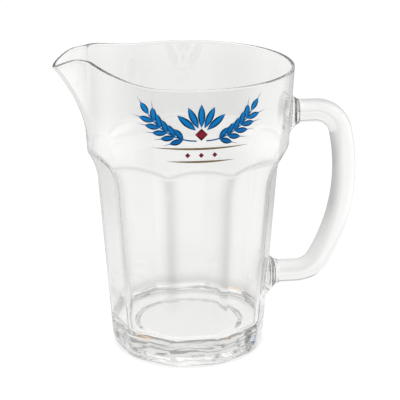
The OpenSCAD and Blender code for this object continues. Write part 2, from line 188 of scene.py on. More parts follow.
class Nodes:
    """Short ways to add and link shader nodes."""

    def __init__(self, tree: bpy.types.NodeTree) -> None:
        """Keeps the tree that the nodes go into."""
        self.tree = tree

    def add(self, kind: str, **values: object) -> bpy.types.Node:
        """Adds a node.

        Args:
            kind: the node's type.
            values: properties of the node to set.

        Returns:
            The node.
        """
        node = self.tree.nodes.new(kind)
        for name, value in values.items():
            setattr(node, name, value)
        return node

    def feed(self, node: bpy.types.Node, **inputs: object) -> bpy.types.Node:
        """Sets or links inputs, named with _ for a space, or by _ and their number.

        Args:
            node: the node.
            inputs: a plain value, three numbers for a colour, or the output socket to link.

        Returns:
            The same node.
        """
        for name, value in inputs.items():
            key = int(name[1:]) if name[0] == "_" else name.replace("_", " ")
            socket = node.inputs[key]
            if isinstance(value, Socket):
                self.tree.links.new(value, socket)
            else:
                socket.default_value = (*value, 1.0) if socket.type == "RGBA" else value
        return node

    def group(self, tree: bpy.types.NodeTree, **inputs: object) -> bpy.types.Node:
        """Places a node group."""
        return self.feed(self.add("ShaderNodeGroup", node_tree=tree), **inputs)

    def kept(self, name: str) -> Socket:
        """A number that is kept for each point of the piece."""
        return self.add("ShaderNodeAttribute", attribute_name=name).outputs["Fac"]

    def place(self) -> Socket:
        """Place in the frame of the piece."""
        return self.add("ShaderNodeTexCoord").outputs["Object"]

    def noise(self, **inputs: object) -> Socket:
        """Output of a Noise Texture node."""
        return self.feed(self.add("ShaderNodeTexNoise"), **inputs).outputs[0]

    def bump(self, height: Socket, distance: float) -> Socket:
        """Normal of a Bump node."""
        return self.feed(self.add("ShaderNodeBump"), Height=height, Distance=distance).outputs[0]

    def math(self, operation: str, a: object, b: object = 0.0) -> Socket:
        """Output of a Math node."""
        return self.feed(self.add("ShaderNodeMath", operation=operation), _0=a, _1=b).outputs[0]

    def plus(self, a: object, b: object) -> Socket:
        """Sum of two values."""
        return self.math("ADD", a, b)

    def times(self, a: object, b: object) -> Socket:
        """Product of two values."""
        return self.math("MULTIPLY", a, b)

    def most(self, a: object, b: object) -> Socket:
        """The larger of two values."""
        return self.math("MAXIMUM", a, b)

    def rest(self, a: object) -> Socket:
        """What a value lacks to 1."""
        return self.math("SUBTRACT", 1.0, a)

    def mix(self, share: object, a: object, b: object) -> Socket:
        """Mix of two numbers."""
        return self.feed(self.add("ShaderNodeMix", data_type="FLOAT"), _0=share, _2=a, _3=b).outputs[0]

    def blend(self, share: object, a: object, b: object) -> Socket:
        """Mix of two colours."""
        return self.feed(self.add("ShaderNodeMix", data_type="RGBA"), _0=share, _6=a, _7=b).outputs[2]

    def span(self, value: object, low: float, high: float, to_low: float = 0.0, to_high: float = 1.0,
             curve: str = "LINEAR") -> Socket:
        """Output of a Map Range node.

        Args:
            value: the value to map.
            low: value that gives to_low.
            high: value that gives to_high.
            to_low: first result.
            to_high: last result.
            curve: how the result runs between them.

        Returns:
            The output socket.
        """
        node = self.add("ShaderNodeMapRange", interpolation_type=curve)
        self.feed(node, Value=value, From_Min=low, From_Max=high, To_Min=to_low, To_Max=to_high)
        return node.outputs[0]

    def smooth(self, value: object, low: float, high: float, to_low: float = 0.0,
               to_high: float = 1.0) -> Socket:
        """Output of a Map Range node with level ends."""
        return self.span(value, low, high, to_low, to_high, "SMOOTHSTEP")


def nodes_of(owner: bpy.types.Material | bpy.types.World) -> Nodes:
    """Turns on the shader nodes of a material or world, and empties their tree.

    Args:
        owner: the material or world.

    Returns:
        A helper for its tree.
    """
    owner.use_nodes = True
    owner.node_tree.nodes.clear()
    return Nodes(owner.node_tree)


def new_group(name: str, inputs: dict[str, float],
              outputs: list[str]) -> tuple[Nodes, dict[str, Socket], bpy.types.Node]:
    """Starts a shader node group.

    Args:
        name: the group's name.
        inputs: its number inputs, with their defaults.
        outputs: its number outputs.

    Returns:
        A helper for its tree, its inputs by name, and its output node.
    """
    tree = bpy.data.node_groups.new(name, "ShaderNodeTree")
    for key, value in inputs.items():
        tree.interface.new_socket(key, in_out="INPUT", socket_type="NodeSocketFloat").default_value = value
    for key in outputs:
        tree.interface.new_socket(key, in_out="OUTPUT", socket_type="NodeSocketFloat")
    nodes = Nodes(tree)
    start = nodes.add("NodeGroupInput")
    return nodes, {key: start.outputs[key] for key in inputs}, nodes.add("NodeGroupOutput")


@dataclass
class Effects:
    """Surface effects that several materials share, each a node group that is built once."""

    ripple_stretch: Point = (0.5, 0.5, 1.5)
    scratch_stretch: Point = (1.0, 1.0, 0.12)
    scratch_turn: Point = (0.35, 0.2, 0.5)
    scratch_w: float = 0.03
    scratched: tuple[float, float] = (0.55, 0.68)
    scratched_scale: float = 55.0
    scuffed: tuple[float, float] = (0.35, 0.7)
    scuffed_scale: float = 240.0
    scuff_least: float = 0.55

    def __post_init__(self) -> None:
        """Builds both groups."""
        self.moulding: bpy.types.NodeTree = self.moulding_group()
        self.handling: bpy.types.NodeTree = self.handling_group()

    def moulding_group(self) -> bpy.types.NodeTree:
        """Group of a moulded surface: slow waves, fine orange peel, and the ripples of a thick part.

        Returns:
            The group, whose Height feeds a bump.
        """
        nodes, given, end = new_group(
            "moulded_surface", {"Wave Scale": 30.0, "Peel Scale": 900.0, "Peel Share": 0.08, "Ripple": 0.0,
                                "Ripple Scale": 85.0}, ["Height"])
        place = nodes.place()
        wave = nodes.noise(Detail=1.0, Roughness=0.4, Vector=place, Scale=given["Wave Scale"])
        peel = nodes.noise(Detail=2.0, Vector=place, Scale=given["Peel Scale"])
        stretched = nodes.feed(nodes.add("ShaderNodeMapping"), Vector=place, Scale=self.ripple_stretch)
        ripple = nodes.noise(Detail=1.0, Vector=stretched.outputs[0], Scale=given["Ripple Scale"])
        height = nodes.plus(wave, nodes.times(peel, given["Peel Share"]))
        nodes.feed(end, Height=nodes.plus(height, nodes.times(ripple, given["Ripple"])))
        return nodes.tree

    def handling_group(self) -> bpy.types.NodeTree:
        """Group of the marks of use: fine scratches in places, and scuffed edges.

        Returns:
            The group, whose Marks and Scuff are masks from 0 to 1.
        """
        nodes, given, end = new_group("marks_of_use", {"Edge": 0.0, "Scratch Scale": 160.0},
                                      ["Marks", "Scuff"])
        place = nodes.place()
        stretched = nodes.feed(nodes.add("ShaderNodeMapping"), Vector=place, Scale=self.scratch_stretch,
                               Rotation=self.scratch_turn)
        lines = nodes.feed(nodes.add("ShaderNodeTexVoronoi", feature="DISTANCE_TO_EDGE"),
                           Vector=stretched.outputs[0], Scale=given["Scratch Scale"])
        thin = nodes.span(lines.outputs["Distance"], 0.0, self.scratch_w, 1.0, 0.0)
        places = nodes.noise(Detail=3.0, Vector=place, Scale=self.scratched_scale)
        where = nodes.span(places, *self.scratched)
        nodes.feed(end, Marks=nodes.times(thin, where))
        patches = nodes.noise(Detail=4.0, Vector=place, Scale=self.scuffed_scale)
        worn = nodes.span(patches, *self.scuffed, self.scuff_least, 1.0)
        nodes.feed(end, Scuff=nodes.times(given["Edge"], worn))
        return nodes.tree


@dataclass(frozen=True)
class ClearPlastic:
    """Finish of a clear moulding, with painted shade and painted glints in its colour.

    Facing runs from 0, where the surface faces the viewer, to 1 at its outline. The collar's painted
    shade, which darkens its middle where it faces the viewer, is full where Facing is below
    shade_full, and gone where it is above shade_end.
    """

    name: str
    tint: Colour = (0.952, 0.950, 0.943)
    # Painted light and shade in the colour: the lighter collar, the band shade along ridges, arches and
    # foot, and the warm and cool glints.
    collar_painted_lighter: Colour = (1.0, 0.998, 0.99)
    worn_tint: Colour = (0.93, 0.928, 0.918)
    painted_band_shade: Colour = (0.58, 0.58, 0.57)
    shadow_tint: Colour = (0.94, 0.94, 0.93)
    warm: Colour = (1.0, 0.55, 0.25)
    cool: Colour = (0.4, 0.62, 1.0)
    glint_share: float = 0.8
    # Strength of the painted shade in the collar's middle, where it faces the viewer.
    painted_collar_shade: float = 0.36
    shade_full: float = 0.08
    shade_end: float = 0.42
    ior: float = 1.57
    roughness: float = 0.012
    scuff_roughness: float = 0.12
    mark_roughness: float = 0.05
    absorb_colour: Colour = (0.10, 0.10, 0.08)
    absorb_density: float = 2.2
    wave_depth: float = 0.00006
    wave_scale: float = 34.0
    peel_share: float = 0.01
    slab_ripple: float = 22.0

    def colour(self, nodes: Nodes, scuff: Socket) -> Socket:
        """Colour of the plastic: its tint, a painted lighter collar, painted shades and painted glints.

        A painted shade counts only where a ray goes into the plastic, so that a wall has it once.

        Args:
            nodes: helper for the material's tree.
            scuff: mask of the worn edges.

        Returns:
            The colour.
        """
        collar = nodes.kept("collar")
        # The collar gets a lighter colour than the panels, as painted light; worn edges get the worn colour.
        plain = nodes.blend(scuff, nodes.blend(collar, self.tint, self.collar_painted_lighter), self.worn_tint)
        inward = nodes.rest(nodes.add("ShaderNodeNewGeometry").outputs["Backfacing"])
        facing = nodes.add("ShaderNodeLayerWeight").outputs["Facing"]
        front = nodes.smooth(facing, self.shade_full, self.shade_end, self.painted_collar_shade, 0.0)
        # Painted shade: along the ridges, arches, foot and inner floor, and in the collar's middle where it
        # faces the viewer.
        shade = nodes.most(nodes.kept("ridge"), nodes.times(collar, front))
        colour = nodes.blend(nodes.times(shade, inward), plain, self.painted_band_shade)
        # Painted glints: small warm and cool spots of painted light in the slab.
        for name, glint in (("warm", self.warm), ("cool", self.cool)):
            colour = nodes.blend(nodes.times(nodes.kept(name), self.glint_share), colour, glint)
        return colour

    def material(self, effects: Effects) -> bpy.types.Material:
        """Builds the material.

        Args:
            effects: the shared node groups.

        Returns:
            The material, through which lamps reach what is behind it.
        """
        mat = bpy.data.materials.new(self.name)
        nodes = nodes_of(mat)
        ripple = nodes.times(nodes.kept("slab"), self.slab_ripple)
        moulding = nodes.group(effects.moulding, Wave_Scale=self.wave_scale, Peel_Share=self.peel_share,
                               Ripple=ripple)
        marks = nodes.group(effects.handling, Edge=nodes.kept("edge")).outputs
        dull = nodes.span(marks["Scuff"], 0.0, 1.0, self.roughness, self.scuff_roughness)
        plastic = nodes.feed(nodes.add("ShaderNodeBsdfPrincipled"), IOR=self.ior, Transmission_Weight=1.0,
                             Base_Color=self.colour(nodes, marks["Scuff"]),
                             Roughness=nodes.plus(dull, nodes.times(marks["Marks"], self.mark_roughness)),
                             Normal=nodes.bump(moulding.outputs["Height"], self.wave_depth))
        clear = nodes.feed(nodes.add("ShaderNodeBsdfTransparent"), Color=self.shadow_tint)
        shadow = nodes.add("ShaderNodeLightPath").outputs["Is Shadow Ray"]
        mixed = nodes.feed(nodes.add("ShaderNodeMixShader"), _0=shadow, _1=plastic.outputs[0],
                           _2=clear.outputs[0])
        inside = nodes.feed(nodes.add("ShaderNodeVolumeAbsorption"), Color=self.absorb_colour,
                            Density=self.absorb_density)
        nodes.feed(nodes.add("ShaderNodeOutputMaterial"), Surface=mixed.outputs[0], Volume=inside.outputs[0])
        return mat


@dataclass(frozen=True)
class Cement:
    """Finish of the slightly milky film in a bonded joint."""

    name: str = "cement_film"
    colour: Colour = (0.93, 0.94, 0.94)
    streak_colour: Colour = (0.85, 0.87, 0.88)
    streak_scale: float = 500.0
    clearness: float = 0.7
    ior: float = 1.5
    roughness: float = 0.3
    depth: float = 0.0001

    def material(self, effects: Effects) -> bpy.types.Material:
        """Builds the material.

        Args:
            effects: the shared node groups.

        Returns:
            The material.
        """
        mat = bpy.data.materials.new(self.name)
        nodes = nodes_of(mat)
        moulding = nodes.group(effects.moulding)
        streaks = nodes.noise(Detail=3.0, Scale=self.streak_scale)
        film = nodes.feed(nodes.add("ShaderNodeBsdfPrincipled"), IOR=self.ior, Roughness=self.roughness,
                          Transmission_Weight=self.clearness,
                          Base_Color=nodes.blend(streaks, self.colour, self.streak_colour),
                          Normal=nodes.bump(moulding.outputs["Height"], self.depth))
        nodes.feed(nodes.add("ShaderNodeOutputMaterial"), Surface=film.outputs[0])
        return mat


@dataclass(frozen=True)
class ScreenInk:
    """Finish of one printed colour, lighter upward, darker at its edge and pale on its back.

    The piece's "edge" is 1 at the edge of a stroke, and 2 or more on its back.
    """

    name: str
    colour: Colour
    light: Colour
    edge: Colour
    edge_start: float = 0.5
    edge_fade: float = 0.12
    back_colour: Colour = (0.92, 0.93, 0.93)
    back_share: float = 0.5
    back_start: float = 1.5
    back_full: float = 1.9
    light_low: float = 0.158
    light_high: float = 0.190
    light_share: float = 0.7
    cloud_share: float = 0.3
    cloud_scale: float = 220.0
    metallic: float = 0.0
    roughness: float = 0.38
    mark_roughness: float = 0.2
    specular: float = 0.12
    peel_scale: float = 2600.0
    depth: float = 0.00003

    def material(self, effects: Effects) -> bpy.types.Material:
        """Builds the material.

        Args:
            effects: the shared node groups.

        Returns:
            The material.
        """
        mat = bpy.data.materials.new(self.name)
        nodes = nodes_of(mat)
        place = nodes.place()
        height = nodes.feed(nodes.add("ShaderNodeSeparateXYZ"), Vector=place).outputs["Z"]
        up = nodes.span(height, self.light_low, self.light_high, 0.0, self.light_share)
        cloud = nodes.noise(Detail=2.0, Vector=place, Scale=self.cloud_scale)
        fill = nodes.blend(nodes.plus(up, nodes.times(cloud, self.cloud_share)), self.colour, self.light)
        edge = nodes.kept("edge")
        rim = nodes.span(edge, self.edge_start, self.edge_start + self.edge_fade)
        back = nodes.span(edge, self.back_start, self.back_full, 0.0, self.back_share)
        colour = nodes.blend(back, nodes.blend(rim, fill, self.edge), self.back_colour)
        moulding = nodes.group(effects.moulding, Peel_Scale=self.peel_scale)
        marks = nodes.group(effects.handling).outputs["Marks"]
        film = nodes.feed(nodes.add("ShaderNodeBsdfPrincipled"), Metallic=self.metallic,
                          Specular_IOR_Level=self.specular, Base_Color=colour,
                          Roughness=nodes.plus(self.roughness, nodes.times(marks, self.mark_roughness)),
                          Normal=nodes.bump(moulding.outputs["Height"], self.depth))
        nodes.feed(nodes.add("ShaderNodeOutputMaterial"), Surface=film.outputs[0])
        return mat


@dataclass(frozen=True)
class BarSection:
    """Section of the handle's bar, with the hollow flare by which it meets a wall.

    The flare's radius is a share of handle_out, which is how far the handle stands out past the rim.
    The growth at a place is found by halving the range from shrink_share of half the bar's
    thickness inside it to grow_most outside it.
    """

    thickness: float = 0.0152
    width: float = 0.0174
    fullness: float = 2.3
    handle_out: float = 0.0442
    flare_share: float = 0.2036
    skirt_angle: float = 45.0
    top_round: float = 0.0004
    shrink_share: float = 0.98
    grow_most: float = 0.1
    halvings: int = 34

    @property
    def flare_r(self) -> float:
        """Radius of the hollow flare."""
        return self.flare_share * self.handle_out

    def outline(self, grow: float, sides: int) -> np.ndarray:
        """Outline of the bar, grown by a distance all round.

        Args:
            grow: distance from the plain bar.
            sides: number of points.

        Returns:
            Points as sides x 2, the first value in the plane of the handle.
        """
        turn = np.linspace(0, 2 * math.pi, sides, endpoint=False)
        c, s = np.cos(turn), np.sin(turn)
        power = 2 / self.fullness
        return np.stack([
            (self.thickness / 2 + grow) * np.sign(c) * np.abs(c) ** power,
            (self.width / 2 + grow) * np.sign(s) * np.abs(s) ** power,
        ], axis=-1)

    def flare(self, out: float) -> float:
        """How much fatter than the bar the root is.

        Args:
            out: distance out from the wall.

        Returns:
            The growth, which is 0 past the flare.
        """
        if out >= self.flare_r:
            return 0.0
        return self.flare_r - math.sqrt(self.flare_r**2 - (self.flare_r - out) ** 2)

    def grown(self, along: np.ndarray, across: np.ndarray) -> np.ndarray:
        """How much the bar has to grow for its outline to pass through each place.

        Args:
            along: distance from the bar's middle in the plane of the handle.
            across: distance from the bar's middle across the hand.

        Returns:
            The growth, which is negative inside the bar.
        """
        low = np.full(np.shape(along), -self.thickness / 2 * self.shrink_share)
        high = np.full(np.shape(along), self.grow_most)
        for _ in range(self.halvings):
            middle = (low + high) / 2
            reach = np.abs(along / (self.thickness / 2 + middle)) ** self.fullness
            reach += np.abs(across / (self.width / 2 + middle)) ** self.fullness
            low = np.where(reach > 1, middle, low)
            high = np.where(reach > 1, high, middle)
        return (low + high) / 2

    def height(self, grow: np.ndarray, top: float) -> np.ndarray:
        """Height of a boss above the wall's level where the bar has grown by some distance.

        Args:
            grow: distance from the plain bar's outline.
            top: height of the boss's flat end.

        Returns:
            The height: the flat end, the hollow flare, and then the straight skirt.
        """
        r, skirt = self.flare_r, math.radians(self.skirt_angle)
        bend_grow, bend_out = r * (1 - math.cos(skirt)), r * (1 - math.sin(skirt))
        hollow = r - np.sqrt(np.maximum(r * r - (r - np.clip(grow, 0, bend_grow)) ** 2, 0))
        straight = bend_out - (grow - bend_grow) / math.tan(skirt)
        rise = np.where(grow <= 0, r - grow, np.where(grow < bend_grow, hollow, straight))
        return soft_least(rise, np.full(np.shape(grow), top), self.top_round)


@dataclass(frozen=True)
class Root:
    """Place where one end of the handle meets the body."""

    wall_x: float
    z: float
    boss_out: float


@dataclass(frozen=True)
class JugShape:
    """Outer and inner surface of the body as formulas of direction and height.

    An arch or a boss is met by coming closer in a few rounds. The slope of the collar is taken
    between places that lie slope_share of the wall, or slope_turn degrees, to both sides.
    """

    rim_r: float = 0.070
    body_h: float = 0.1945
    shoulder_r: float = 0.067
    shoulder_z: float = 0.139
    panel_count: int = 10
    foot_panel_r: float = 0.0499
    waist_panel_r: float = 0.0579
    flare_z: float = 0.118
    flare_r: float = 0.0395
    ridge_round_share: float = 0.18
    wall: float = 0.0027
    rim_wall: float = 0.0022
    floor_z: float = 0.0185
    floor_round: float = 0.004
    foot_round: float = 0.0015
    foot_rise: float = 0.0032
    recess_r: float = 0.0345
    recess_depth: float = 0.0025
    spout_reach: float = 0.089
    spout_z: float = 0.149
    spout_curve: float = 1.85
    spout_half_angle: float = 22.5
    tip_rise: float = 0.0017
    wing_rise: float = 0.0092
    wing_angle: float = 15.0
    rise_angle: float = 70.0
    arch_reach: float = 0.0011
    foot_r: float = 0.0500
    foot_slope: float = 0.42
    foot_reach: float = 0.0006
    arch_rounds: int = 5
    boss_rounds: int = 4
    slope_share: float = 0.1
    slope_turn: float = 0.2

    @property
    def half_step(self) -> float:
        """Half of the angle that one panel takes up."""
        return 180 / self.panel_count

    @property
    def ridge_centre(self) -> float:
        """Centre of the rounded ridge, as a share of the panel's distance."""
        return (1 - self.ridge_round_share) / math.cos(math.radians(self.half_step))

    @property
    def ridge_share(self) -> float:
        """Distance to a ridge as a share of the panel's distance."""
        return self.ridge_centre + self.ridge_round_share

    @property
    def lean(self) -> float:
        """Slope of the panels."""
        return (self.waist_panel_r - self.foot_panel_r) / self.flare_z

    def panel_share(self, angle: np.ndarray) -> np.ndarray:
        """Outline of the rounded polygon.

        Args:
            angle: directions round the axis.

        Returns:
            Distances from the axis, where the middle of a panel is 1.
        """
        half = self.half_step
        off = np.abs(np.mod(angle, 2 * half) - half)
        flat_end = math.degrees(math.atan((1 - self.ridge_round_share) * math.tan(math.radians(half))))
        back = np.radians(half - off)
        under = self.ridge_round_share**2 - (self.ridge_centre * np.sin(back)) ** 2
        rounded = self.ridge_centre * np.cos(back) + np.sqrt(np.maximum(under, 0))
        return np.where(off < flat_end, 1 / np.cos(np.radians(off)), rounded)

    @property
    def flare_centre(self) -> tuple[float, float]:
        """Centre of the panels' hollow flare.

        Returns:
            Its distance from the axis and its height.
        """
        tilt = math.atan(self.lean)
        r = self.waist_panel_r + self.flare_r * math.cos(tilt)
        return r, self.flare_z - self.flare_r * math.sin(tilt)

    def panel_radius(self, z: np.ndarray, depth: np.ndarray | float = 0.0) -> np.ndarray:
        """Distance from the axis to the middle of a panel.

        Args:
            z: heights.
            depth: how far the surface is set in, square to itself.

        Returns:
            The distances.
        """
        tilt = math.atan(self.lean)
        centre_r, centre_z = self.flare_centre
        bend, up = self.flare_r + depth, z - centre_z
        straight = self.foot_panel_r + self.lean * z - depth / math.cos(tilt)
        bent = centre_r - np.sqrt(np.maximum(bend * bend - up * up, 0))
        return np.where(up <= bend * math.sin(tilt), straight, bent)

    def arch_height(self, angle: np.ndarray, depth: float = 0.0) -> np.ndarray:
        """Height at which panel and collar meet.

        Args:
            angle: directions round the axis.
            depth: how far both surfaces are set in.

        Returns:
            The heights.
        """
        centre_r, centre_z = self.flare_centre
        z = np.full(np.shape(angle), self.shoulder_z)
        for _ in range(self.arch_rounds):
            r = (self.collar_radius(z) - depth) / self.panel_share(angle)
            z = centre_z + np.sqrt((self.flare_r + depth) ** 2 - np.maximum(centre_r - r, 0) ** 2)
        return z

    def collar_radius(self, z: np.ndarray) -> np.ndarray:
        """Outer radius of the round collar at a height."""
        slope = (self.rim_r - self.shoulder_r) / (self.body_h - self.shoulder_z)
        return self.shoulder_r + slope * (z - self.shoulder_z)

    def from_tip(self, angle: np.ndarray) -> np.ndarray:
        """Angle between a direction and the spout's tip."""
        return np.abs(180 - np.mod(angle, 360))

    def rim_height(self, angle: np.ndarray) -> np.ndarray:
        """Height of the rim: level behind, up to the wings and down to the tip.

        Args:
            angle: directions round the axis.

        Returns:
            The heights.
        """
        away = self.from_tip(angle)
        low = self.body_h + self.tip_rise
        dip = low + (self.wing_rise - self.tip_rise) * ease(away / self.wing_angle)
        climb = ease((self.rise_angle - away) / (self.rise_angle - self.wing_angle))
        return np.where(away < self.wing_angle, dip, self.body_h + self.wing_rise * climb)

    def lip_height(self, angle: np.ndarray) -> np.ndarray:
        """Height at which the lip starts to round over."""
        return self.rim_height(angle) - self.rim_wall / 2

    def spout_out(self, angle: np.ndarray, z: np.ndarray) -> np.ndarray:
        """How far the spout stands out of the collar.

        Args:
            angle: directions round the axis.
            z: heights.

        Returns:
            The distances, which are 0 away from the spout.
        """
        away = self.from_tip(angle)
        up = unit((z - self.spout_z) / (self.rim_height(angle) - self.spout_z))
        reach = self.spout_reach - self.collar_radius(self.body_h + self.tip_rise)
        swell = np.cos(np.radians(90 * away / self.spout_half_angle)) ** 2
        return np.where(away < self.spout_half_angle, reach * up**self.spout_curve * swell, 0)

    def panel_side(self, angle: np.ndarray, z: np.ndarray) -> np.ndarray:
        """Radius of the panelled surface, with its ridges."""
        return self.panel_radius(z) * self.panel_share(angle)

    def collar_side(self, angle: np.ndarray, z: np.ndarray) -> np.ndarray:
        """Radius of the round surface, with its spout."""
        return self.collar_radius(z) + self.spout_out(angle, z)

    def outer_radius(self, angle: np.ndarray, z: np.ndarray) -> np.ndarray:
        """Outer radius of the body, with the arched edge slightly rounded and the foot's corners cut."""
        upper = soft_least(self.panel_side(angle, z), self.collar_side(angle, z), self.arch_reach)
        return soft_least(upper, self.foot_r + self.foot_slope * z, self.foot_reach)

    def wall_at(self, z: np.ndarray | float) -> np.ndarray:
        """Thickness of the wall at a height."""
        return self.wall + (self.rim_wall - self.wall) * unit(np.asarray(z) / self.body_h)

    def inner_radius(self, angle: np.ndarray, z: np.ndarray) -> np.ndarray:
        """Inner radius of the body: each of the two surfaces set in by the wall, square to it.

        Args:
            angle: directions round the axis.
            z: heights.

        Returns:
            The inner radii.
        """
        thick = self.wall_at(z)
        step, turn = self.wall * self.slope_share, self.slope_turn
        r = self.collar_side(angle, z)
        up = (self.collar_side(angle, z + step) - self.collar_side(angle, z - step)) / (2 * step)
        ahead, behind = self.collar_side(angle + turn, z), self.collar_side(angle - turn, z)
        around = (ahead - behind) / (2 * r * math.sin(math.radians(turn)))
        collar = r - thick * np.sqrt(1 + up * up + around * around)
        return soft_least(self.panel_radius(z, thick) * self.panel_share(angle), collar, self.arch_reach)

    def boss_radius(self, angle: np.ndarray, z: np.ndarray, root: Root, bar: BarSection) -> np.ndarray:
        """Outer radius of the boss that carries one end of the handle.

        Args:
            angle: directions round the axis.
            z: heights.
            root: place of the boss.
            bar: section of the handle's bar.

        Returns:
            The boss's radii, which fall below the wall outside the boss.
        """
        turn = np.radians(np.mod(angle + 180, 360) - 180)
        x = np.full(np.broadcast(angle, z).shape, root.wall_x)
        for _ in range(self.boss_rounds):
            x = root.wall_x + bar.height(bar.grown(z - root.z, x * np.tan(turn)), root.boss_out)
        return x / np.cos(turn)


@dataclass(frozen=True)
class RootPlaces:
    """Heights of the handle's roots, and how far their bosses stand out, as shares of flare_r."""

    upper_z: float = 0.1598
    lower_z: float = 0.0454
    upper_out_share: float = 0.6
    lower_out_share: float = 0.422

    def roots(self, shape: JugShape, bar: BarSection) -> tuple[Root, Root]:
        """Places where the handle meets the collar and, below, a ridge.

        Args:
            shape: surfaces of the body.
            bar: section of the handle's bar.

        Returns:
            The upper and the lower root.
        """
        collar = float(shape.collar_radius(np.array(self.upper_z)))
        ridge = float(shape.panel_radius(np.array(self.lower_z))) * shape.ridge_share
        return (Root(collar, self.upper_z, self.upper_out_share * bar.flare_r),
                Root(ridge, self.lower_z, self.lower_out_share * bar.flare_r))


@dataclass(frozen=True)
class Glint:
    """A painted glint: a small coloured spot in the slab, by its middle and half its width and height."""

    turn: float
    height: float
    half_turn: float
    half_height: float

    def near(self, angle: np.ndarray, z: np.ndarray) -> np.ndarray:
        """How near points are to the glint, from 0 to 1."""
        away = np.mod(angle - self.turn + 180, 360) - 180
        return np.exp(-((away / self.half_turn) ** 4) - ((z - self.height) / self.half_height) ** 4)


@dataclass
class JugBody:
    """The body's moulding: base slab, panels, collar, spout and the two bosses.

    The first fields place the mesh's columns and rows, which lie closer together where the form
    bends. The later ones say how far each painted shade, worn edge and painted glint reaches.
    """

    shape: JugShape
    bar: BarSection
    roots: tuple[Root, Root]
    boss_angle: float = 15.0
    boss_h: float = 0.0155
    boss_blend: float = 0.0016
    spout_angle: float = 25.0
    ridge_reach: float = 4.0
    ridge_step: float = 0.7
    boss_step: float = 0.5
    spout_step: float = 1.0
    plain_step: float = 2.0
    arch_mid: float = 0.139
    arch_near: float = 0.0017
    arch_about: float = 0.004
    arch_row: float = 0.00022
    arch_about_row: float = 0.0006
    boss_row: float = 0.0006
    flare_row: float = 0.002
    collar_row: float = 0.003
    plain_row: float = 0.006
    rows_top: float = 0.180
    slab_rows: tuple[Span, ...] = ((0.0, 0.009, 0.0008), (0.0165, 0.0215, 0.0009))
    arch_lead: float = 0.003
    arch_fade: float = 0.02
    recess_rings: tuple[float, ...] = (0.006, 0.015, 0.025)
    recess_start_share: float = 1.6
    recess_edge_share: float = 0.7
    recess_ease_share: float = 0.3
    recess_steps: int = 12
    foot_ring_shares: tuple[float, ...] = (0.15, 0.5, 0.9, 1.0)
    foot_steps: int = 6
    climb_steps: int = 12
    lip_steps: int = 10
    floor_steps: int = 8
    floor_ring_shares: tuple[float, ...] = (0.97, 0.7, 0.4, 0.15)

    # Reach of painted shade: band and arch along ridges and arches, base at the inner floor, and heel along
    # the foot's bottom edge.
    band_half: float = 0.0046
    band_end: float = 0.004
    band_start: float = 0.015
    band_fade: float = 0.036
    arch_half: float = 0.0016
    base_half: float = 0.0045
    heel_half: float = 0.0011
    heel_reach: float = 0.002
    collar_fade: float = 0.006
    ridge_wear: float = 0.5
    foot_wear: float = 0.25
    foot_wear_h: float = 0.004
    slab_start: float = 0.003
    slab_fade_in: float = 0.002
    slab_fade_out: float = 0.004
    underside: float = 0.3
    underside_h: float = 0.0005
    underside_gap: float = 0.001
    # Painted glints: small coloured spots of painted light in the slab.
    warm_glints: tuple[Glint, ...] = (
        Glint(-132.0, 0.0183, 7.0, 0.0019), Glint(-66.0, 0.0183, 4.0, 0.0014),
        Glint(40.0, 0.0190, 6.0, 0.0013), Glint(134.0, 0.0100, 3.5, 0.0016))
    cool_glints: tuple[Glint, ...] = (
        Glint(-39.8, 0.0092, 3.2, 0.0018), Glint(-150.0, 0.0110, 3.0, 0.0020),
        Glint(75.0, 0.0120, 3.0, 0.0018))
    plastic: ClearPlastic = ClearPlastic("clear_body_plastic")

    def columns(self) -> np.ndarray:
        """Places the mesh's columns, alike on both sides of the handle's plane.

        Returns:
            Directions from 0 up to 360 degrees.
        """
        step = 2 * self.shape.half_step
        ridges = [step * k for k in range(self.shape.panel_count // 2 + 1)]
        spans = [(r - self.ridge_reach, r + self.ridge_reach, self.ridge_step) for r in ridges]
        spans += [(0, self.boss_angle, self.boss_step), (180 - self.spout_angle, 180, self.spout_step)]
        half = march(0, 180, spans, self.plain_step)
        return np.concatenate([half, 360 - half[-2:0:-1]])

    def heights(self, outside: bool) -> np.ndarray:
        """Heights of the mesh's rows up to the upper collar.

        Args:
            outside: whether they are the outside's, which start at the foot and are fine over the
                bosses, or the inside's, which start at the floor.

        Returns:
            Heights in rising order.
        """
        s, mid, near, about = self.shape, self.arch_mid, self.arch_near, self.arch_about
        spans = [*self.slab_rows, (s.flare_z, mid - about, self.flare_row),
                 (mid - about, mid - near, self.arch_about_row), (mid - near, mid + near, self.arch_row),
                 (mid + near, mid + about, self.arch_about_row),
                 (mid + about, self.rows_top, self.collar_row)]
        if outside:
            spans += [(r.z - self.boss_h, r.z + self.boss_h, self.boss_row) for r in self.roots]
            return march(s.foot_rise, self.rows_top, spans, self.plain_row)
        return march(s.floor_z + s.floor_round, self.rows_top, spans, self.plain_row)

    def follow(self, angle: np.ndarray, z: float, depth: float) -> np.ndarray:
        """Bends a level row so that it runs along the arches near them.

        Args:
            angle: directions of the columns.
            z: the row's height.
            depth: how far its surface is set in.

        Returns:
            The row's heights.
        """
        flare_z = self.shape.flare_z
        near = float(ease((z - flare_z) / (self.arch_mid - flare_z - self.arch_lead)))
        near *= 1 - float(ease((z - self.arch_mid - self.arch_lead) / self.arch_fade))
        return z + (self.shape.arch_height(angle, depth) - self.arch_mid) * near

    def outer(self, angle: np.ndarray, z: np.ndarray) -> np.ndarray:
        """Outer radius with the bosses blended in.

        Args:
            angle: directions of the columns.
            z: height of the row at each of them.

        Returns:
            The radii.
        """
        r = self.shape.outer_radius(angle, z)
        for root in self.roots:
            if np.abs(z - root.z).min() > 2 * self.boss_h:
                continue
            near = np.minimum(angle, 360 - angle) < 2 * self.boss_angle
            boss = self.shape.boss_radius(angle[near], z[near], root, self.bar)
            r[near] = soft_most(r[near], boss, self.boss_blend)
        return r

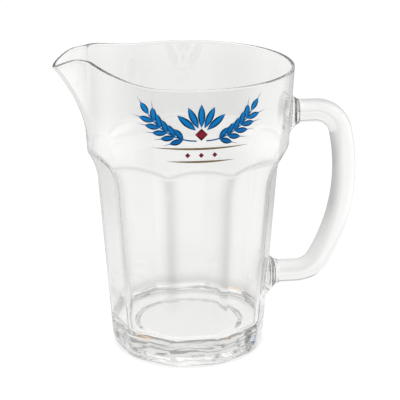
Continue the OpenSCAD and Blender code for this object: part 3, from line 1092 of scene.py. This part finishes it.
    def rings(self) -> np.ndarray:
        """Makes the rings from the middle of the underside, round the wall, to the middle of the floor.

        Returns:
            Points as rings x columns x 3.
        """
        s = self.shape
        a = self.columns()
        cos, sin = np.cos(np.radians(a)), np.sin(np.radians(a))
        found: list[np.ndarray] = []

        def add(r: np.ndarray | float, z: np.ndarray | float) -> None:
            """Adds one ring with that radius and height."""
            found.append(np.stack([r * cos, r * sin, z + 0 * cos], axis=-1))

        edge = s.recess_depth * self.recess_edge_share
        for r in (*self.recess_rings, s.recess_r - edge * self.recess_start_share):
            add(r, s.recess_depth)
        for t in np.linspace(0, 1, self.recess_steps + 1):
            drop = self.recess_ease_share * float(ease(t)) + (1 - self.recess_ease_share) * t
            add(s.recess_r + edge * (2 * t - 1), s.recess_depth * (1 - drop))
        foot = self.outer(a, np.full_like(a, s.foot_rise)) - s.foot_round
        start = s.recess_r + edge
        for t in self.foot_ring_shares:
            add(start + (foot - start) * t, 0.0)
        for t in arc(90, self.foot_steps)[1:-1]:
            add(foot + s.foot_round * math.sin(t), s.foot_rise * (1 - math.cos(t)))
        rows = self.heights(outside=True)
        for z in rows:
            high = self.follow(a, z, 0.0)
            add(self.outer(a, high), high)
        lip = s.lip_height(a)
        climbs = np.linspace(0, 1, self.climb_steps + 1)[1:]
        for t in climbs:
            z = rows[-1] + (lip - rows[-1]) * t
            add(s.outer_radius(a, z), z)
        out, inn = s.outer_radius(a, lip), s.inner_radius(a, lip)
        for t in arc(180, self.lip_steps)[1:-1]:
            add(out - (out - inn) / 2 * (1 - math.cos(t)), lip + s.rim_wall / 2 * math.sin(t))
        rows = self.heights(outside=False)
        for t in climbs[::-1]:
            z = rows[-1] + (lip - rows[-1]) * t
            add(s.inner_radius(a, z), z)
        depth = float(s.wall_at(s.shoulder_z))
        for z in rows[::-1]:
            high = self.follow(a, z, depth)
            add(s.inner_radius(a, high), high)
        low = s.inner_radius(a, np.full_like(a, s.floor_z + s.floor_round))
        for t in arc(90, self.floor_steps)[1:]:
            add(low - s.floor_round * (1 - math.cos(t)), s.floor_z + s.floor_round * (1 - math.sin(t)))
        for share in self.floor_ring_shares:
            add((low - s.floor_round) * share, s.floor_z)
        return np.stack(found)

    def build(self) -> bpy.types.Object:
        """Makes the body's mesh and keeps for each point what its material reads.

        The numbers are "ridge" for the painted shade along ridges, arches, foot and inner floor,
        "collar" for the painted lighter collar and the painted shade in its middle, "edge" for wear,
        "slab" for the ripples of the base, and "warm" and "cool" for its painted glints.

        Returns:
            The body.
        """
        rings = self.rings()
        piece = skin("clear_body", rings)
        s, z = self.shape, rings[..., 2]
        angle = np.degrees(np.arctan2(rings[..., 1], rings[..., 0]))
        r = np.hypot(rings[..., 0], rings[..., 1])
        off = np.radians(np.abs(np.mod(angle + s.half_step, 2 * s.half_step) - s.half_step)) * r
        over = z - s.arch_height(angle)
        outside = unit((r - s.inner_radius(angle, z)) / s.wall * 2 - 1)

        # Painted shade along the ridges and arches, at the foot of the inner wall and along the foot's
        # bottom edge.
        along = np.exp(-((off / self.band_half) ** 2)) * (1 - ease(over / self.band_end + 1))
        along *= ease((z - s.floor_z - self.band_start) / self.band_fade)
        arch = np.exp(-np.abs(over) / self.arch_half)
        above_floor = np.maximum(z - s.floor_z - s.floor_round, 0)
        base = np.exp(-((above_floor / self.base_half) ** 2)) * (1 - outside)
        base *= ease((z - s.floor_z) / s.floor_round)
        heel = np.exp(-((z / self.heel_half) ** 2)) * (r > s.foot_r - self.heel_reach)
        value_of(piece, "ridge", np.maximum.reduce([np.maximum(along, arch) * outside, heel, base]))
        # The collar mask gives the collar its painted lighter colour and the painted shade in its middle.
        value_of(piece, "collar", ease(over / self.collar_fade))

        lip = ease((z - s.lip_height(angle)) / s.rim_wall + 1)
        foot = self.foot_wear * (1 - ease(z / self.foot_wear_h)) * (r > s.recess_r)
        value_of(piece, "edge", np.maximum.reduce([along * self.ridge_wear, lip, foot]) * outside)

        facets = ease((z - self.slab_start) / self.slab_fade_in)
        facets *= 1 - ease((z - s.floor_z) / self.slab_fade_out + 1)
        under = self.underside * (z < self.underside_h) * (r > s.recess_r + self.underside_gap)
        value_of(piece, "slab", facets + under)
        # Painted glints: warm and cool spots of painted light in the slab.
        for name, glints in (("warm", self.warm_glints), ("cool", self.cool_glints)):
            spots = [glint.near(angle, z) for glint in glints]
            value_of(piece, name, np.maximum.reduce(spots) * outside)
        return piece

    def finish(self, effects: Effects) -> None:
        """Builds and dresses the body."""
        dress(self.build(), self.plastic.material(effects), "jug_body")


@dataclass
class BarHandle:
    """The bar handle and the two films of cement that bond it to the bosses.

    The grip is one wide arc. Its radius, and the height of its centre over the lower root, are
    shares of the height between the roots.
    """

    shape: JugShape
    bar: BarSection
    roots: tuple[Root, Root]
    grip_height_share: float = 0.626
    grip_bow_share: float = 1.1145
    bend_share: float = 0.4727
    bond_t: float = 0.0003
    bond_inset: float = 0.0005
    bond_gap: float = 0.00002
    end_round: float = 0.00025
    cap_inset: float = 0.001
    sides: int = 96
    end_steps: int = 4
    flare_steps: int = 14
    arm_steps: int = 4
    bend_steps: int = 30
    grip_steps: int = 56
    film_steps: int = 8
    plastic: ClearPlastic = ClearPlastic("clear_handle_plastic", worn_tint=(0.95, 0.95, 0.94),
                                         wave_scale=24.0)
    film: Cement = Cement()

    @property
    def reach(self) -> float:
        """Distance from the jug's axis to the outside of the grip."""
        return self.shape.rim_r + self.bar.handle_out

    @property
    def grip_z(self) -> float:
        """Height of the grip's centre."""
        upper, lower = self.roots
        return lower.z + self.grip_height_share * (upper.z - lower.z)

    @property
    def grip_r(self) -> float:
        """Radius of the grip along the bar's middle."""
        upper, lower = self.roots
        return self.grip_bow_share * (upper.z - lower.z)

    @property
    def bend_r(self) -> float:
        """Radius of each bend along the bar's middle."""
        return self.bend_share * (self.bar.handle_out - self.bar.thickness / 2)

    def ring(self, x: float, z: float, turn: float, grow: float) -> np.ndarray:
        """One ring of the bar.

        Args:
            x: middle of the ring along +X.
            z: height of the middle of the ring.
            turn: direction of travel: 0 along +X, falling as the bar turns down.
            grow: distance from the plain bar's outline.

        Returns:
            Points as sides x 3.
        """
        p = self.bar.outline(grow, self.sides)
        t = math.radians(turn)
        return np.stack([x - p[:, 0] * math.sin(t), -p[:, 1], z + p[:, 0] * math.cos(t)], axis=-1)

    def bend(self, x: float, z: float, r: float, start: float, stop: float, count: int) -> list[np.ndarray]:
        """Rings round a bend, without the ring at its start.

        Args:
            x: centre of the bend along +X.
            z: height of the centre.
            r: radius along the bar's middle.
            start: angle of the start, seen from the centre.
            stop: angle of the end.
            count: number of rings.

        Returns:
            The rings.
        """
        turns = np.linspace(start, stop, count + 1)[1:]
        return [self.ring(x + r * math.cos(math.radians(t)), z + r * math.sin(math.radians(t)), t - 90, 0)
                for t in turns]

    def root_rings(self, root: Root) -> list[np.ndarray]:
        """Rings of one root, from its rounded end at the joint out to the plain bar.

        Args:
            root: place of the root.

        Returns:
            The rings.
        """
        joint = root.boss_out + self.bond_t
        rings = [self.ring(root.wall_x + joint, root.z, 0, self.bar.flare(joint) - self.cap_inset)]
        for t in arc(90, self.end_steps):
            out = joint + self.end_round * (1 - math.cos(t))
            grow = self.bar.flare(out) - self.end_round * (1 - math.sin(t))
            rings.append(self.ring(root.wall_x + out, root.z, 0, grow))
        ends = np.linspace(joint + self.end_round, self.bar.flare_r, self.flare_steps + 1)[1:]
        return rings + [self.ring(root.wall_x + e, root.z, 0, self.bar.flare(e)) for e in ends]

    def handle(self) -> bpy.types.Object:
        """Makes the bar: a root, a bend, the long grip, a bend and a root.

        Returns:
            The handle.
        """
        upper, lower = self.roots
        grip_x = self.reach - self.bar.thickness / 2 - self.grip_r
        inner_r = self.grip_r - self.bend_r
        bends = []
        for root, side in ((upper, -1), (lower, 1)):
            z = root.z + side * self.bend_r
            angle = math.degrees(math.asin((z - self.grip_z) / inner_r))
            bends.append((grip_x + inner_r * math.cos(math.radians(angle)), z, angle))
        (ux, uz, ua), (lx, lz, la) = bends
        start_x, end_x = upper.wall_x + self.bar.flare_r, lower.wall_x + self.bar.flare_r
        arm = np.linspace(0, 1, self.arm_steps + 1)[1:]
        rings = self.root_rings(upper)
        rings += [self.ring(start_x + (ux - start_x) * t, upper.z, 0, 0) for t in arm]
        rings += self.bend(ux, uz, self.bend_r, 90, ua, self.bend_steps)
        rings += self.bend(grip_x, self.grip_z, self.grip_r, ua, la, self.grip_steps)
        rings += self.bend(lx, lz, self.bend_r, la, -90, self.bend_steps)
        rings += [self.ring(lx + (end_x - lx) * t, lower.z, -180, 0) for t in arm[:-1]]
        order = (self.sides // 2 - np.arange(self.sides)) % self.sides
        rings += [ring[order] for ring in self.root_rings(lower)[::-1]]
        return skin("bar_handle", np.stack(rings))

    def cement(self, root: Root, name: str) -> bpy.types.Object:
        """Makes the film of cement between a boss and the handle.

        Args:
            root: place of the joint.
            name: name of the piece.

        Returns:
            The film, just clear of the faces that it bonds.
        """
        grow = self.bar.flare(root.boss_out) - self.bond_inset
        thick = self.bond_t - 2 * self.bond_gap
        start = root.wall_x + root.boss_out + self.bond_gap
        rings = [self.ring(start, root.z, 0, grow - self.cap_inset)]
        for t in arc(180, self.film_steps):
            x = start + thick / 2 * (1 - math.cos(t))
            rings.append(self.ring(x, root.z, 0, grow - thick / 2 * (1 - math.sin(t))))
        rings.append(self.ring(start + thick, root.z, 0, grow - self.cap_inset))
        return skin(name, np.stack(rings))

    def finish(self, effects: Effects) -> None:
        """Builds the handle and its two films of cement, and dresses them.

        Args:
            effects: the shared node groups.
        """
        dress(self.handle(), self.plastic.material(effects), "handle")
        film = self.film.material(effects)
        upper, lower = self.roots
        dress(self.cement(upper, "upper_cement"), film, "upper_bond")
        dress(self.cement(lower, "lower_cement"), film, "lower_bond")


class Ink(Enum):
    """The printed colours, each with the CAD node that it replaces."""

    BLUE = "print_blue"
    GOLD = "print_gold"
    RED = "print_red"


class Side(Enum):
    """The two ears of barley, each with the sign of its side along +X."""

    LEFT = -1
    RIGHT = 1


@dataclass
class Decoration:
    """Screen print on the collar: two ears of barley, a fan of leaves, diamonds and two rules."""

    shape: JugShape
    middle_z: float = 0.170
    ink_t: float = 0.00012
    lift: float = 0.00002
    across: int = 5
    point_share: float = 0.995
    tip_share: float = 0.004

    ear_r: float = 0.034
    ear_out: float = 0.003
    ear_drop_share: float = 0.24
    stem_w: float = 0.0009
    stem_ink_share: float = 0.6
    stem_points: int = 40
    grain_pairs: int = 5
    first_grain: float = 1.55
    grain_pitch: float = 0.0053
    grain_l: float = 0.009
    grain_w: float = 0.0039
    grain_lean: float = 33.0
    grain_off_share: float = 0.4
    grain_points: int = 13
    awn_l: float = 0.0045
    awn_ink_share: float = 0.75
    awn_points: int = 10

    fan_leaves: int = 5
    fan_l: float = 0.015
    fan_w: float = 0.0046
    fan_drop_share: float = 0.5
    fan_start_share: float = 0.3
    fan_step: float = 25.0
    fan_points: int = 21

    rule_l: float = 0.062
    rule_w: float = 0.0013
    rule_clear_share: float = 4.0
    rule_gap: float = 0.0085
    rule_short_share: float = 0.3
    rule_points: int = 49
    diamond_h: float = 0.008
    small_diamond_share: float = 0.42
    diamond_points: int = 11

    inks: tuple[tuple[Ink, ScreenInk], ...] = (
        (Ink.BLUE, ScreenInk("blue_ink", colour=(0.001, 0.10, 0.34), light=(0.001, 0.34, 0.90),
                             edge=(0.001, 0.036, 0.11))),
        (Ink.GOLD, ScreenInk("gold_ink", colour=(0.30, 0.20, 0.08), light=(0.44, 0.31, 0.14),
                             edge=(0.12, 0.09, 0.04), metallic=0.35)),
        (Ink.RED, ScreenInk("red_ink", colour=(0.24, 0.014, 0.028), light=(0.34, 0.026, 0.045),
                            edge=(0.09, 0.006, 0.012))))

    @property
    def fan_y(self) -> float:
        """Height of the largest diamond and the fan's centre from the middle of the print."""
        return -self.fan_drop_share * self.ear_drop_share * self.ear_r

    @property
    def rule_y(self) -> float:
        """Height of the upper rule from the middle of the print."""
        return -self.ear_r * self.ear_drop_share - self.rule_clear_share * self.rule_w

    def strip(self, path: np.ndarray, half: np.ndarray, layer: float) -> Stroke:
        """One printed stroke along a path, as a thin closed box of ink on the collar.

        Args:
            path: middle line of the stroke, n x 2, flat as seen from -Y.
            half: half of its width at each point of the path.
            layer: share of the ink's thickness that the stroke has.

        Returns:
            Rings round the stroke as n x m x 3, and for each point how near it is to the edge: 0 to 1
            on the front, and 2 to 3 on the back.
        """
        along = np.gradient(path, axis=0)
        along /= np.linalg.norm(along, axis=1, keepdims=True)
        normal = np.stack([-along[:, 1], along[:, 0]], axis=-1)
        shares = np.linspace(-1, 1, self.across)
        flat = path[:, None] + normal[:, None] * (half[:, None] * shares)[..., None]
        edge = np.broadcast_to(np.abs(shares), flat.shape[:2])
        z = self.middle_z + flat[..., 1]
        layers = []
        for height in (self.lift, self.ink_t * layer):
            r = self.shape.collar_radius(z) + height
            layers.append(np.stack([flat[..., 0], -np.sqrt(r * r - flat[..., 0] ** 2), z], axis=-1))
        ring = np.concatenate([layers[1], layers[0][:, ::-1]], axis=1)
        return ring, np.concatenate([edge, edge[:, ::-1] + 2], axis=1)

    def leaf(self, start: np.ndarray, turn: float, length: float, width: float, points: int) -> Stroke:
        """A pointed oval that starts at a place and lies in a direction.

        Args:
            start: its first point.
            turn: its direction.
            length: its length.
            width: its greatest width.
            points: number of points along it.

        Returns:
            The stroke.
        """
        t = np.linspace(self.tip_share, 1 - self.tip_share, points)
        return self.strip(start + np.outer(t * length, way_to(turn)), 2 * width * t * (1 - t), 1.0)

    def on_ear(self, pitches: float, side: float = 0.0) -> tuple[np.ndarray, float]:
        """Place on the ear's curve and its direction.

        Args:
            pitches: distance from the ear's foot in grain pitches.
            side: distance from the curve, to its left.

        Returns:
            The point and the direction of the curve there.
        """
        turn = math.degrees(pitches * self.grain_pitch / self.ear_r)
        t = math.radians(turn)
        r = self.ear_r - side
        drop = self.ear_r * self.ear_drop_share
        return np.array([self.ear_out + r * math.sin(t), self.ear_r - drop - r * math.cos(t)]), turn

    def ear(self) -> list[Stroke]:
        """Draws the right-hand ear.

        Returns:
            Strokes of its stem, awns and grains.
        """
        top = self.first_grain + self.grain_pairs
        line = np.array([self.on_ear(p)[0] for p in np.linspace(0, top, self.stem_points)])
        strokes = [self.strip(line, np.full(len(line), self.stem_w / 2), self.stem_ink_share)]
        spots = [(self.first_grain + i, s) for i in range(self.grain_pairs) for s in (-1, 1)] + [(top, 0)]
        for pitches, s in spots:
            start, turn = self.on_ear(pitches, s * self.stem_w * self.grain_off_share)
            turn += s * self.grain_lean
            t = np.linspace(0, self.point_share, self.awn_points)
            tail = start + np.outer(self.grain_l / 2 + t * (self.grain_l / 2 + self.awn_l), way_to(turn))
            strokes.append(self.strip(tail, self.stem_w / 2 * (1 - t), self.awn_ink_share))
            strokes.append(self.leaf(start, turn, self.grain_l, self.grain_w, self.grain_points))
        return strokes

    def fan(self) -> list[Stroke]:
        """Draws the leaves that spread upward from round the largest diamond.

        Returns:
            One stroke for each leaf.
        """
        strokes = []
        for i in range(self.fan_leaves):
            turn = 90 + (i - (self.fan_leaves - 1) / 2) * self.fan_step
            start = np.array([0.0, self.fan_y]) + way_to(turn) * self.fan_l * self.fan_start_share
            strokes.append(self.leaf(start, turn, self.fan_l, self.fan_w, self.fan_points))
        return strokes

    def diamond(self, x: float, y: float, height: float) -> Stroke:
        """Draws a diamond round a place.

        Args:
            x: its middle along +X.
            y: its middle upward.
            height: its height and width.

        Returns:
            The stroke.
        """
        t = np.linspace(-self.point_share, self.point_share, self.diamond_points)
        path = np.stack([x + t * height / 2, np.full(len(t), y)], axis=-1)
        return self.strip(path, (1 - np.abs(t)) * height / 2, 1.0)

    def strokes(self, ink: Ink) -> list[Stroke]:
        """Every stroke of one colour.

        Args:
            ink: the colour.

        Returns:
            The strokes.
        """
        if ink is Ink.BLUE:
            return [(ring * np.array([side.value, 1.0, 1.0]), edge)
                    for side in Side for ring, edge in self.ear()] + self.fan()
        if ink is Ink.GOLD:
            found = []
            for i in (0, 1):
                length = self.rule_l * (1 - i * self.rule_short_share)
                start = np.array([-length / 2, self.rule_y - i * self.rule_gap])
                found.append(self.leaf(start, 0, length, self.rule_w, self.rule_points))
            return found
        small = self.diamond_h * self.small_diamond_share
        places = [(0.0, self.fan_y, self.diamond_h)]
        places += [(i * self.rule_gap, self.rule_y - self.rule_gap / 2, small) for i in (-1, 0, 1)]
        return [self.diamond(*place) for place in places]

    def build(self, ink: Ink) -> bpy.types.Object:
        """Makes the piece of one colour from all its strokes.

        Args:
            ink: the colour.

        Returns:
            The piece, with "edge" kept for its material.
        """
        pieces = []
        for ring, edge in self.strokes(ink):
            piece = skin("stroke", ring)
            value_of(piece, "edge", edge)
            pieces.append(piece)
        target = pieces[0]
        with bpy.context.temp_override(active_object=target, selected_editable_objects=pieces):
            bpy.ops.object.join()
        target.name = target.data.name = ink.name.lower() + "_print"
        return target

    def finish(self, effects: Effects) -> None:
        """Builds and dresses the print, one piece for each colour.

        Args:
            effects: the shared node groups.
        """
        for ink, look in self.inks:
            dress(self.build(ink), look.material(effects), ink.value)


@dataclass(frozen=True)
class Lamp:
    """One soft square lamp: its place, the side of its square, and its power in watts."""

    name: str
    at: Point
    size: float
    power: float


@dataclass
class Studio:
    """Plain white floor and room, soft lamps and the camera.

    The room is white to the camera. What the clear plastic shows of it has the levels given here by
    rise, which is the upward share of a direction: horizon up to gap_start, gap, and upper from
    gap_end on, with a soft box overhead. Toward both sides it falls off to side. A band of painted
    shade on the floor is given by its distances from the middle.
    """

    camera_at: Point = (-0.1122, -0.9136, 0.4172)
    look_at: Point = (0.00795, -0.00105, 0.10003)
    focal_px: float = 1441.8
    image_px: float = 400.0
    sensor: float = 36.0

    ambient: float = 0.44
    horizon: float = 0.96
    gap: float = 0.46
    upper: float = 1.05
    gap_start: tuple[float, float] = (0.34, 0.39)
    gap_end: tuple[float, float] = (0.425, 0.485)
    box: float = 1.2
    box_edge: tuple[float, float] = (0.74, 0.79)

    side: float = 0.85
    floor_side: float = 0.45
    side_edge: tuple[float, float] = (0.38, 0.95)
    before: float = 0.35
    beside: float = 1.7
    behind: float = 0.4
    before_edge: tuple[float, float] = (-0.95, -0.3)
    behind_edge: tuple[float, float] = (0.2, 0.8)
    least_square: float = 1e-6

    floor_r: float = 1.6
    floor_z: float = -0.0002
    floor_sides: int = 96
    floor_colour: Colour = (0.85, 0.85, 0.85)
    floor_white: float = 1.08
    floor_glow_share: float = 0.85
    # Painted light on the floor: shade toward the sides past around_edge, far and contact bands of painted
    # shade, a painted pool of light under the pitcher, and a painted shadow line at the foot.
    around_edge: tuple[float, float] = (0.08, 0.3)
    far: float = 0.88
    far_band: Band = (0.45, 0.58, 0.75, 1.1)
    contact: float = 0.95
    contact_band: Band = (0.055, 0.075, 0.12, 0.24)
    under: float = 1.13
    under_edge: tuple[float, float] = (0.042, 0.056)
    heel: float = 0.82
    heel_band: Band = (0.046, 0.049, 0.0498, 0.0535)

    lamps: tuple[Lamp, ...] = (
        Lamp("key_lamp", (-0.9, -0.9, 1.3), 0.7, 9.0), Lamp("fill_lamp", (1.1, -0.5, 1.0), 0.8, 5.0),
        Lamp("back_lamp", (0.2, 1.2, 1.1), 0.9, 6.0))
    lamp_aim: Point = (0.0, 0.0, 0.1)
    bounces: int = 400

    def aim(self, thing: bpy.types.Object, at: Point, target: Point) -> None:
        """Places a lamp or the camera and turns it toward a point."""
        thing.location = at
        thing.rotation_euler = (Vector(target) - Vector(at)).to_track_quat("-Z", "Y").to_euler()

    def camera(self) -> None:
        """Places the camera as the photograph's."""
        data = bpy.data.cameras.new("camera")
        data.sensor_width = self.sensor
        data.lens = self.sensor * self.focal_px / self.image_px
        camera = new_object("camera", data)
        self.aim(camera, self.camera_at, self.look_at)
        bpy.context.scene.camera = camera

    def around(self, nodes: Nodes, place: Socket, side: float) -> Socket:
        """Level of the room's white round the pitcher, by direction.

        What is seen through the plastic falls off toward both sides. What its gloss reflects is
        brighter beside the pitcher and darker before and behind it.

        Args:
            nodes: helper for the shader's tree.
            place: position or direction seen from the pitcher.
            side: level toward both sides, as seen through the plastic.

        Returns:
            The level.
        """
        split = nodes.feed(nodes.add("ShaderNodeSeparateXYZ"), Vector=place)
        x, y = split.outputs["X"], split.outputs["Y"]
        squares = nodes.plus(nodes.times(x, x), nodes.times(y, y))
        length = nodes.math("SQRT", nodes.plus(squares, self.least_square))
        across = nodes.math("DIVIDE", nodes.math("ABSOLUTE", x), length)
        away = nodes.math("DIVIDE", y, length)
        fall = nodes.smooth(across, *self.side_edge, 1.0, side)
        gloss = nodes.times(nodes.smooth(away, *self.before_edge, self.before, self.beside),
                            nodes.smooth(away, *self.behind_edge, 1.0, self.behind / self.beside))
        return nodes.mix(nodes.add("ShaderNodeLightPath").outputs["Is Transmission Ray"], gloss, fall)

    def world(self) -> None:
        """White to the camera, an even level to matt surfaces, and the room to gloss and plastic."""
        world = bpy.data.worlds.new("room")
        nodes = nodes_of(world)
        way = nodes.add("ShaderNodeTexCoord").outputs["Generated"]
        rise = nodes.feed(nodes.add("ShaderNodeSeparateXYZ"), Vector=way).outputs["Z"]
        high = nodes.smooth(rise, *self.gap_end, self.gap, self.upper)
        wall = nodes.mix(nodes.smooth(rise, *self.gap_start), self.horizon, high)
        wall = nodes.times(wall, self.around(nodes, way, self.side))
        room = nodes.most(wall, nodes.span(rise, *self.box_edge, 0.0, self.box))
        path = nodes.add("ShaderNodeLightPath").outputs
        sharp = nodes.most(path["Is Glossy Ray"], path["Is Transmission Ray"])
        level = nodes.mix(path["Is Camera Ray"], nodes.mix(sharp, self.ambient, room), 1.0)
        light = nodes.feed(nodes.add("ShaderNodeBackground"), Color=(1.0, 1.0, 1.0), Strength=level)
        nodes.feed(nodes.add("ShaderNodeOutputWorld"), Surface=light.outputs[0])
        bpy.context.scene.world = world

    def ring(self, nodes: Nodes, far: Socket, band: Band, level: float) -> Socket:
        """Level of a round band of painted shade on the floor, which is 1 outside the band.

        Args:
            nodes: helper for the floor's tree.
            far: distance from the middle.
            band: distances of the band.
            level: level where the band is full.

        Returns:
            The level.
        """
        inside = nodes.times(nodes.smooth(far, *band[:2]), nodes.smooth(far, *band[2:], 1.0, 0.0))
        return nodes.rest(nodes.times(inside, 1.0 - level))

    def floor_level(self, nodes: Nodes, camera_ray: Socket) -> Socket:
        """Level of the floor's own white.

        All rays see a painted pool of light under the pitcher and a painted shadow line along its
        foot. Gloss and plastic also show painted shade on the floor toward the sides, far out, and
        round the foot.

        Args:
            nodes: helper for the floor's tree.
            camera_ray: 1 for what the camera sees straight.

        Returns:
            The level.
        """
        place = nodes.place()
        length = nodes.add("ShaderNodeVectorMath", operation="LENGTH")
        far = nodes.feed(length, _0=place).outputs["Value"]
        # Painted shade on the floor, seen in gloss and plastic: toward the sides, far out and round the
        # pitcher.
        drop = nodes.times(nodes.span(far, *self.around_edge),
                           nodes.rest(self.around(nodes, place, self.floor_side)))
        dim = nodes.times(self.ring(nodes, far, self.far_band, self.far),
                          self.ring(nodes, far, self.contact_band, self.contact))
        shown = nodes.mix(camera_ray, nodes.times(nodes.rest(drop), dim), 1.0)
        # A painted pool of light under the pitcher, and a painted shadow line along its foot.
        level = nodes.times(shown, nodes.smooth(far, *self.under_edge, self.under, 1.0))
        level = nodes.times(level, self.ring(nodes, far, self.heel_band, self.heel))
        return nodes.times(level, self.floor_white)

    def floor(self) -> None:
        """A round white floor, part matt and part glow, so that it keeps a faint shadow."""
        turns = np.linspace(0, 2 * math.pi, self.floor_sides, endpoint=False)
        points = [(self.floor_r * math.cos(t), self.floor_r * math.sin(t), self.floor_z) for t in turns]
        mesh = bpy.data.meshes.new("floor")
        mesh.from_pydata(points, [], [list(range(self.floor_sides))])
        floor = new_object("floor", mesh)
        mat = bpy.data.materials.new("floor")
        nodes = nodes_of(mat)
        path = nodes.add("ShaderNodeLightPath").outputs
        sees = nodes.most(path["Is Glossy Ray"], path["Is Transmission Ray"])
        sees = nodes.most(path["Is Camera Ray"], sees)
        matt = nodes.feed(nodes.add("ShaderNodeBsdfDiffuse"), Color=self.floor_colour)
        glow = nodes.feed(nodes.add("ShaderNodeEmission"),
                          Strength=self.floor_level(nodes, path["Is Camera Ray"]))
        mixed = nodes.feed(nodes.add("ShaderNodeMixShader"), _0=nodes.times(sees, self.floor_glow_share),
                           _1=matt.outputs[0], _2=glow.outputs[0])
        nodes.feed(nodes.add("ShaderNodeOutputMaterial"), Surface=mixed.outputs[0])
        mesh.materials.append(mat)

    def light(self, lamp: Lamp) -> None:
        """Hangs one lamp, which lights the pitcher but doesn't show in it.

        Args:
            lamp: the lamp.
        """
        data = bpy.data.lights.new(lamp.name, "AREA")
        data.size = lamp.size
        data.energy = lamp.power
        hung = new_object(lamp.name, data)
        hung.visible_glossy = False
        hung.visible_transmission = False
        self.aim(hung, lamp.at, self.lamp_aim)

    def build(self) -> None:
        """Sets up the whole studio."""
        self.camera()
        self.world()
        self.floor()
        for lamp in self.lamps:
            self.light(lamp)
        bpy.context.scene.view_settings.view_transform = "Standard"
        for kind in ("max", "glossy", "transmission"):
            setattr(bpy.context.scene.cycles, kind + "_bounces", self.bounces)


def main() -> None:
    """Builds the studio, and then the pitcher piece by piece."""
    logging.basicConfig(level=logging.INFO, format="%(name)s: %(message)s")
    Studio().build()
    shape, bar, effects = JugShape(), BarSection(), Effects()
    roots = RootPlaces().roots(shape, bar)
    for part in (JugBody(shape, bar, roots), BarHandle(shape, bar, roots), Decoration(shape)):
        part.finish(effects)


def corners(box: object) -> list[list[float]]:
    """A box as plain lists of numbers."""
    return [[float(v) for v in corner] for corner in box]


if __name__ == "__main__":
    main()
